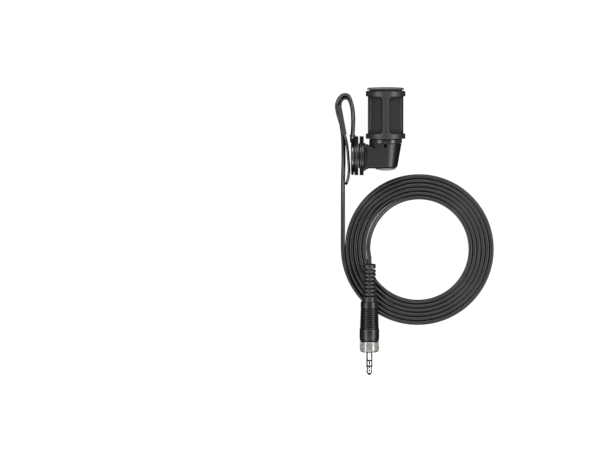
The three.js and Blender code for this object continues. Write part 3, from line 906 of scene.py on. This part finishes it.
def make_neck():
    """The glossy collar between the cage and the elbow, cut to the elbow's edge."""
    gap = 0.3
    shoulder = CAGE_BOTTOM - gap
    neck = turned("neck", [
        (3, -7.5), (NECK_R, -7.5), (NECK_R, shoulder), (8.98, shoulder), (8.98, 0), (3, 0), (3, -7.5),
    ], MIC, 160, 0.1)
    line = scoop_line(gap)
    line[-1] = (SCOOP_X - gap, line[-1][1])
    below = [*line, (SCOOP_X - gap, RIM_Y + 0.25), (25, RIM_Y + 0.25), (25, -12), (-4.2, -12)]
    around = prism("around", below, -5, 30)
    cut(around, disc("kept", SPIGOT_R, -13, 0, MIC, 96))
    cut(neck, around)
    melt(neck, 0.13, 5)
    finish_piece(neck, "black_plastic", "mic_head", "neck_collar", look="gloss_plastic")


def make_elbow_cover():
    """The dome that closes the elbow's floor, painted pale grey as a painted reflection of the light
    that it catches.
    """
    profile = [
        (0, -19.95), (2.0, -19.88), (3.8, -19.66), (5.2, -19.3), (6.0, -18.9), (5.9, -18.6),
        (5.1, -18.4), (5.1, -16.6), (4.0, -16.6), (4.0, -18.3), (0, -18.3),
    ]
    cover = turned("bottom_cap", profile, MIC, 96, 0.12)
    finish_piece(cover, "black_plastic", "mic_head", "elbow_cover", look="painted_reflection_plastic")


# Swivel and clip ------------

DISC_R = 11.55
FLANGE_LEFT, FLANGE_RIM_LEFT, FLANGE_RIGHT = -6.78, -6.1, -3.78
BASE_LEFT, BASE_DISC_LEFT, BASE_FLOOR, BASE_RIGHT = -11.2, -9.2, -8.3, -6.95
BASE_BORE = 7.6
PORT_X = -10.3
PORT = Matrix.Translation((PORT_X - MIC_X, 0, 0)) @ MIC
WIRE_R = 0.8
TONGUE_HALF = 3.0
WIRE_RING_X = -10.35
WIRE_RING_R = 10.6
SPLIT = Vector(JOINTS["clip_open"]["pos_m"]) / MM


def ridged_rim(left, right):
    """Two rounded ridges with a groove between them."""
    centre, depth = (left + right) / 2, 0.3
    return [
        (DISC_R, left), (DISC_R, centre - 0.3), (DISC_R - depth, centre - 0.08),
        (DISC_R - depth, centre + 0.08), (DISC_R, centre + 0.3), (DISC_R, right),
    ]


def make_swivel_flange():
    """The head's own disc of the swivel."""
    hub = 7.38
    profile = [
        (BEARING_R, FLANGE_LEFT), (hub, FLANGE_LEFT), (hub, FLANGE_RIM_LEFT),
        *ridged_rim(FLANGE_RIM_LEFT, FLANGE_RIGHT), (BEARING_R, FLANGE_RIGHT), (BEARING_R, FLANGE_LEFT),
    ]
    flange = turned("flange", profile, SWIVEL, 160, 0.24, 4)
    finish_piece(flange, "black_plastic", "mic_head", "swivel_flange")


def make_clip_base():
    """The clip's disc of the swivel, with its boss and the port for the cable."""
    boss = 9.6
    profile = [
        (BASE_BORE, BASE_LEFT), (boss, BASE_LEFT), (boss, BASE_DISC_LEFT),
        *ridged_rim(BASE_DISC_LEFT, BASE_RIGHT), (BEARING_R, BASE_RIGHT), (BEARING_R, BASE_FLOOR),
        (BASE_BORE, BASE_FLOOR), (BASE_BORE, BASE_LEFT),
    ]
    base = turned("base", profile, SWIVEL, 160, 0.24, 4)
    lowest = (PORT_X - 1.55, -3.3, AXIS_Z - 2.3)
    port = box("port", lowest, (BASE_DISC_LEFT + 0.15, 0.2, AXIS_Z + 2.3))
    cut(port, disc("hollow", BASE_BORE, BASE_LEFT - 3, BASE_FLOOR, SWIVEL, 96))
    join(base, port)
    cut(base, disc("bore", 1.45, -5, 1, PORT, 40))
    melt(base, 0.12, 4)
    finish_piece(base, "black_plastic", "clip_side", "clip_base")


def make_base_cover():
    """The plate in the clip's boss, with a shallow ring in it."""
    outer, sunk, back = 7.3, BASE_LEFT + 0.12, -10.6
    profile = [
        (0, BASE_LEFT), (2.0, BASE_LEFT), (2.3, sunk), (6.2, sunk), (6.5, BASE_LEFT),
        (outer, BASE_LEFT), (outer, back), (0, back),
    ]
    cover = turned("base_plate", profile, SWIVEL, 128, 0.12)
    finish_piece(cover, "black_plastic", "clip_side", "base_cover")


def make_grommet():
    """The rubber ring round the cable where it leaves the port."""
    grommet = turned("port_grommet", ring(1.27, 1.75, 0.1, 1.2), PORT, 48, 0.25)
    finish_piece(grommet, "black_rubber", "clip_side", "cable_grommet")


# The wire's two halves from the top bend: x and y, then the distance from the middle plane as a
# part of TONGUE_HALF at the toe, and in millimetres along the rear legs.
TONGUE_LINE = [
    (-14.4, 24.85), (-15.4, 24.8), (-17.1, 24.0), (-18.9, 21.7), (-19.9, 18.4), (-19.5, 14.8),
    (-18.5, 11), (-17.3, 7.4), (-16.1, 4.0), (-15.0, 1.3), (-14.1, -2), (-13.3, -7),
    (-12.75, -13), (-12.4, -18), (-12.4, -20.5), (-12.55, -22.5),
]
TOE_LINE = [(-12.95, -24.6, 0.97), (-13.5, -26.4, 0.82), (-13.82, -27.3, 0.45)]
LEG_LINE = [
    (-14.4, 24.85, 3.0), (-13.4, 24.7, 3.0), (-12.1, 23.6, 3.05), (-11.1, 21.3, 3.2),
    (-10.5, 18, 3.4), (-10.25, 14, 3.7), (-9.95, 9.5, 4.1), (-9.75, 5.5, 4.5),
    (-9.95, 2.8, 4.8), (-10.3, 0.6, 5.0), (WIRE_RING_X, -0.7, 5.3),
]
BAR_STEP = 0.35
WIRE_SIDES = 20
CABLE_SIDES = 24
BEND_HALF = 1.6      # the stretch over the top that flexes, each side of the hinge
BEND_LEFT, BEND_RIGHT = SPLIT.x - BEND_HALF, SPLIT.x + BEND_HALF
TOP_BEND_Y = 10      # lower points aren't on the top bend
LAP = 2              # points by which the bend laps over the bars that it joins


def tongue_route():
    """Down one side of the tongue, round its toe and up the other."""
    def side(sign):
        straight = [(x, y, AXIS_Z + sign * TONGUE_HALF) for x, y in TONGUE_LINE]
        return straight + [(x, y, AXIS_Z + sign * part * TONGUE_HALF) for x, y, part in TOE_LINE]

    return smooth_route([*side(-1), (-13.92, -27.6, AXIS_Z), *reversed(side(1))], BAR_STEP)


def ring_route():
    """Down one rear leg, round the clip's boss and up the other leg."""
    def leg(sign):
        return [(x, y, AXIS_Z + sign * z) for x, y, z in LEG_LINE]

    loop = []
    for degrees in range(40, 321, 20):
        turn = math.radians(degrees)
        y, z = SWIVEL_Y + WIRE_RING_R * math.cos(turn), AXIS_Z - WIRE_RING_R * math.sin(turn)
        loop.append((WIRE_RING_X, y, z))
    return smooth_route([*leg(-1), *loop, *reversed(leg(1))], BAR_STEP)


def bending_rod(name, points, radius, slot):
    """The short stretch of a bar that flexes as the clip opens."""
    piece = finish_piece(rod(name, points, radius, WIRE_SIDES), slot, None)
    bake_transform(piece)


def make_wires():
    """The clip's wire: the tongue, the ring with its legs, and the two bends between them."""
    tongue, back = tongue_route(), ring_route()

    def outside(route, test):
        kept = [k for k, p in enumerate(route) if test(p)]
        return route[kept[0]:kept[-1] + 1]

    front = outside(tongue, lambda p: p.x < BEND_LEFT or p.y < TOP_BEND_Y)
    rear = outside(back, lambda p: p.x > BEND_RIGHT)
    finish_piece(rod("tongue", front, WIRE_R, WIRE_SIDES), "black_wire", "cable_side", "tongue_wire")
    piece = rod("ring_and_legs", rear, WIRE_R, WIRE_SIDES)
    finish_piece(piece, "black_wire", "clip_side", "ring_wire")
    for side, way in (("far", 1), ("near", -1)):
        outer, inner = tongue[::way], back[::way]
        first = outer.index(front[::way][0]) + LAP
        last = inner.index(rear[::way][0]) + LAP
        bend = outer[first:0:-1] + inner[:last + 1]
        bending_rod(f"wire_bend_{side}", bend, WIRE_R, "black_wire")


def in_middle(line):
    """Points of the clip's middle plane."""
    return [(x, y, AXIS_Z) for x, y in line]


def make_held_cable():
    """The cable along the clip, in two halves and the bend between them."""
    rear = smooth_route(in_middle(HELD_REAR), BAR_STEP)
    front = smooth_route(in_middle(HELD_FRONT), BAR_STEP)
    last = next(k for k, p in enumerate(rear) if p.x < BEND_RIGHT and p.y > TOP_BEND_Y)
    first = next(k for k, p in enumerate(front) if p.x < BEND_LEFT)
    piece = rod("held_cable_back", rear[:last + 1], CABLE_R, CABLE_SIDES)
    finish_piece(piece, "cable_jacket", "clip_side", "held_cable_rear")
    piece = rod("held_cable_down", front[first:], CABLE_R, CABLE_SIDES)
    finish_piece(piece, "cable_jacket", "cable_side", "held_cable_front")
    bend = rear[last - LAP:] + front[1:first + 1 + LAP]
    bending_rod("held_cable_bend", bend, CABLE_R, "cable_jacket")


def make_keeper():
    """The moulded block that grips both wires and lets the cable cross between them."""
    foot, head = Vector((-15.5, 1.2, AXIS_Z)), Vector((-18.8, 18.85, AXIS_Z))
    fit, spacing = 0.1, 0.8
    along = (head - foot).normalized()
    across = Vector((along.y, -along.x, 0))
    corner = foot + across * 0.27
    place = Matrix((
        (across.x, 0, along.x, corner.x), (across.y, 0, along.y, corner.y),
        (0, -1, 0, corner.z), (0, 0, 0, 1),
    ))
    block = prism("keeper", rounded_outline(1.56, 4.7, 0.7), 0, (head - foot).length, place)
    for sign in (-1, 1):
        line = [(x, y, AXIS_Z + sign * TONGUE_HALF) for x, y in TONGUE_LINE]
        cut(block, rod("wire_bore", smooth_route(line, spacing), WIRE_R + fit, WIRE_SIDES))
    line = in_middle([*HELD_FRONT[1:-1], (-15.75, -2)])
    cut(block, rod("cable_bore", smooth_route(line, spacing), CABLE_R + fit, CABLE_SIDES))
    melt(block, 0.1, 5)
    finish_piece(block, "grey_plastic", "cable_side", "cable_keeper")


# Plug ------------

TOWARDS_CAMERA = -math.pi / 2      # in the plug's own frame
RELIEF_RINGS = 8
RELIEF_PITCH = 2.26
RELIEF_START = 33.5
RELIEF_GAP = 0.95
RELIEF_LAST = 2.3
RELIEF_FRONT = 29.0
RELIEF_BORE = 1.35
RELIEF_CORE_R = 1.7
RELIEF_R = 4.1
RELIEF_TAPER = 0.055      # each ring is smaller by this
SLEEVE_FRONT = 7.5
SLEEVE_BACK = 30.3
SLEEVE_R = 5.8
SLEEVE_BORE = 4.3
SLEEVE_MOUTH = 3.7
GROOVES_START = 14.35
GROOVE_PITCH = 1.185
GROOVE_COUNT = 11
GROOVE_DEPTH = 0.7
TEETH = 10
NUT_R = 5.7
NUT_BORE = 3.3
NUT_FRONT = 0.5
NUT_BACK = 6.8
NUT_LOBES = 7
KNURL_PITCH = 1.35
KNURL_DEPTH = 0.5
FLUTE_DEPTH = 0.55
PIN_R = 1.75
COLLAR_R = 1.82


def step_up(value, start, end):
    """Goes smoothly from 0 at start to 1 at end."""
    part = min(1.0, max(0.0, (value - start) / (end - start)))
    return part * part * (3 - 2 * part)


def off_axis(angle, period, centre):
    """The angle from the nearest of the directions centre + n x period, without its sign."""
    return abs((angle - centre + period / 2) % period - period / 2)


def make_sleeve():
    """The plug's grip: a lip, a plain band and V-shaped grooves on a slight taper."""
    lip = SLEEVE_FRONT + 0.45
    profile = [
        (SLEEVE_MOUTH, SLEEVE_FRONT), (5.75, SLEEVE_FRONT), (5.75, lip), (5.4, lip + 0.1),
        (5.4, lip + 0.35), (SLEEVE_R, lip + 0.5), (SLEEVE_R, GROOVES_START - 0.3),
    ]
    for k in range(GROOVE_COUNT):
        start = GROOVES_START + GROOVE_PITCH * k
        crest = 5.66 - 0.034 * (start - GROOVES_START)
        profile += [(crest, start), (crest - GROOVE_DEPTH, start + 0.37), (crest, start + 0.74)]
    profile += [
        (5.2, GROOVES_START + GROOVE_PITCH * GROOVE_COUNT), (5.15, SLEEVE_BACK),
        (SLEEVE_BORE, SLEEVE_BACK), (SLEEVE_BORE, 8.5), (SLEEVE_MOUTH, 8.5),
    ]
    sleeve = turned("sleeve", [*profile, profile[0]], PLUG, 160, 0.05, 3)
    return finish_piece(sleeve, "black_plastic", "cable_side", "plug_sleeve")


def make_teeth():
    """The crown of small teeth between the sleeve and the nut."""
    piece = turned("crown", ring(2.85, 3.25, 6.9, 7.8), PLUG, 96, 0.08)
    for k in range(TEETH):
        turn = Matrix.Rotation((k + 0.5) * 2 * math.pi / TEETH, 4, "Z")
        notch = box("notch", (2.5, -0.6, 6.0), (4, 0.6, 7.5))
        notch.data.transform(Matrix.Scale(MM, 4) @ PLUG @ turn @ Matrix.Scale(1 / MM, 4))
        cut(piece, notch)
    shade(piece.data, SHARP_EDGE)
    return finish_piece(piece, "black_plastic", "cable_side", "plug_sleeve")


def make_relief():
    """The rubber strain relief: rings bridged in turn at the sides and at the front and back."""
    profile = [
        (RELIEF_BORE, RELIEF_FRONT), (4.0, RELIEF_FRONT), (4.15, SLEEVE_BACK), (4.15, RELIEF_START),
    ]
    gaps = []
    for k in range(RELIEF_RINGS):
        start = RELIEF_START + RELIEF_PITCH * k
        end = start + RELIEF_GAP
        outer = RELIEF_R - RELIEF_TAPER * k
        back = start + RELIEF_PITCH if k < RELIEF_RINGS - 1 else end + RELIEF_LAST
        profile += [(RELIEF_CORE_R, start), (RELIEF_CORE_R, end), (outer, end), (outer, back)]
        gaps.append((start - 0.25, end + 0.25, outer, TOWARDS_CAMERA if k % 2 else 0))
    profile += [(RELIEF_BORE, back), (RELIEF_BORE, RELIEF_FRONT)]

    def bridged(angle, r, s):
        for start, end, outer, centre in gaps:
            if start < s < end and r > 1.5:
                away = off_axis(angle, math.pi, centre)
                bridge = 1 - step_up(away, math.radians(15), math.radians(19))
                return r + max(0.0, outer - 0.4 - r) * bridge, s
        return r, s

    relief = turned("relief", profile, PLUG, 180, 0.3, 4, bridged)
    return finish_piece(relief, "black_rubber", "cable_side", "strain_relief")


def knurled(angle, r, s):
    """Knurled lobes with smooth flutes between them."""
    if r < 5:
        return r, s
    lobe = 2 * math.pi / NUT_LOBES
    away = off_axis(angle, lobe, TOWARDS_CAMERA)
    on_lobe = 1 - step_up(away, math.radians(20), math.radians(23))
    count = round(2 * math.pi * NUT_R / KNURL_PITCH)
    around = count * (angle - TOWARDS_CAMERA) / (2 * math.pi)
    along = s / KNURL_PITCH
    first = abs((around + along) % 1 - 0.5)
    second = abs((around - along) % 1 - 0.5)
    cutting = min(first, second) * 2
    front = step_up(s, NUT_FRONT + 0.7, NUT_FRONT + 1.1)
    back = 1 - step_up(s, NUT_BACK - 0.5, NUT_BACK - 0.2)
    depth = KNURL_DEPTH * (1 - step_up(cutting, 0.0, 0.7)) * front * back
    return r - FLUTE_DEPTH * (1 - on_lobe) - depth * on_lobe, s


def make_nut():
    """The locking nut, with enough points along its side to carry the knurl."""
    front = [
        (NUT_BORE, NUT_FRONT), (4.6, NUT_FRONT), (4.95, NUT_FRONT + 0.12), (5.4, NUT_FRONT + 0.5),
    ]
    steps = 70
    start, end = NUT_FRONT + 0.8, NUT_BACK - 0.3
    side = [(NUT_R, start + (end - start) * k / steps) for k in range(steps + 1)]
    back = [(5.5, NUT_BACK), (NUT_BORE, NUT_BACK), (NUT_BORE, NUT_FRONT)]
    nut = turned("nut", front + side + back, PLUG, 720, 0.12, 2, knurled)
    return finish_piece(nut, "nickel", "nut", "locking_nut", look="dull_nickel")


def make_contact(name, profile, node, radius=0.08):
    piece = turned(name, profile, PLUG, 96, radius, 3)
    return finish_piece(piece, "nickel", "cable_side", node)


def make_pin_collar(name, start, end, node):
    """One of the black insulators that show as rings round the pin."""
    piece = turned(name, ring(0.5, COLLAR_R, start, end), PLUG, 96, 0.08, 3)
    return finish_piece(piece, "black_plastic", "cable_side", node, look="matt_plastic")


def make_jack():
    """The pin's contacts and insulators, from its shank to its tip."""
    shank = [
        (0.45, -4.2), (PIN_R, -4.2), (PIN_R, 0.4), (2.9, 0.4), (2.9, 7.8), (3.6, 7.8),
        (3.6, 10.1), (0.45, 10.1), (0.45, -4.2),
    ]
    tip = [
        (0, -13.5), (0.3, -13.48), (0.62, -13.3), (1.0, -12.85), (1.4, -12.25), (1.66, -11.7),
        (1.74, -11.3), (1.66, -10.95), (1.36, -10.1), (1.32, -9.75), (1.42, -9.3), (PIN_R, -8.8),
        (PIN_R, -8.1), (0.45, -8.1), (0.45, 17), (0, 17),
    ]
    return [
        make_pin_collar("pin_collar_1", -5.05, -4.0, "rear_insulator"),
        make_pin_collar("pin_collar_2", -8.4, -7.35, "front_insulator"),
        make_contact("pin_sleeve", shank, "jack_sleeve_contact"),
        make_contact("pin_ring", ring(0.6, PIN_R, -7.6, -4.85), "jack_ring_contact"),
        make_contact("pin_tip", tip, "jack_tip_contact", 0.05),
    ]


# Set and light ------------

BELOW_LEVEL = 0.02
TENT_LEVEL = 0.3
OPENING_LEVEL = 0.05
BELOW_END, TENT_START, TENT_END, OPENING_START = 0.54, 0.77, 0.85, 0.94      # parts of the height
BOX_DISTANCE = 1.6
BOX_WIDTH = 2.6


def make_floor():
    """A bright white surface that the object neither mirrors nor is lit by."""
    made, tree, main = shader("floor", grey(0.1), 0.85)
    tint(tree, noise(tree, 60, 2.0), main.inputs["Base Color"], grey(0.09), grey(0.11))
    main.inputs["Emission Color"].default_value = (1, 1, 1, 1)
    main.inputs["Emission Strength"].default_value = 0.93
    half, drop = 1500, 0.4
    steps = 12
    rows = []
    for k in range(steps + 1):
        x = -half + 2 * half * k / steps
        rows += [(x, -half, -drop), (x, half, -drop)]
    floor = mesh_object("floor", rows, grid_faces(steps + 1, 2, wrap_columns=False))
    floor.data.materials.append(made)
    floor.visible_glossy = False
    floor.visible_diffuse = False


def make_light(name, azimuth, elevation, height, strength):
    """A soft box that faces the object. Angles are in degrees, sizes in metres, strength in watts."""
    data = bpy.data.lights.new(name, "AREA")
    data.shape = "RECTANGLE"
    data.size = BOX_WIDTH
    data.size_y = height
    data.energy = strength
    a, e = math.radians(azimuth), math.radians(elevation)
    away = Vector((math.cos(a) * math.cos(e), math.sin(a) * math.cos(e), math.sin(e)))
    side = Vector((-math.sin(a), math.cos(a), 0))
    aim(name, data, Vector((0.01, -0.06, 0)), side, away, BOX_DISTANCE)


def make_world():
    """A pale tent, with a dark opening at the top for the camera and nothing bright below."""
    world = bpy.data.worlds.new("world")
    world.use_nodes = True
    tree = world.node_tree
    background = tree.nodes["Background"]
    ramp = tint(
        tree, along_axis(tree, "Generated", "Z", -1, 1), background.inputs["Color"],
        grey(BELOW_LEVEL), grey(OPENING_LEVEL), BELOW_END, OPENING_START,
    )
    for position in (TENT_START, TENT_END):
        ramp.color_ramp.elements.new(position).color = (*grey(TENT_LEVEL), 1)
    background.inputs["Strength"].default_value = 1
    bpy.context.scene.world = world


def dress_frame_nodes():
    """The CAD nodes that stay in view take the same materials."""
    for node in frame["nodes"].values():
        for place in node.material_slots:
            place.material = MATERIALS[place.material.name.split(".")[0]]


# Making ------------

make_camera()
MATERIALS = make_materials()
cable, cable_points = make_free_cord()
make_held_cable()
make_wires()
make_keeper()
make_clip_base()
make_base_cover()
make_grommet()
make_swivel_flange()
make_elbow()
make_elbow_cover()
make_neck()
make_cage()
make_foam()
make_side_weave()
make_cap_weave()
plug = [make_sleeve(), make_teeth(), make_relief(), make_nut(), *make_jack()]
dress_frame_nodes()
make_floor()
make_light("left_box", 180, 45, 0.75, 22)
make_light("right_box", 0, 39, 0.66, 30)
make_light("front_box", 270, 50, 0.6, 19)
make_light("back_box", 90, 48, 0.65, 25)
make_world()
bpy.context.scene.view_settings.view_transform = "Standard"
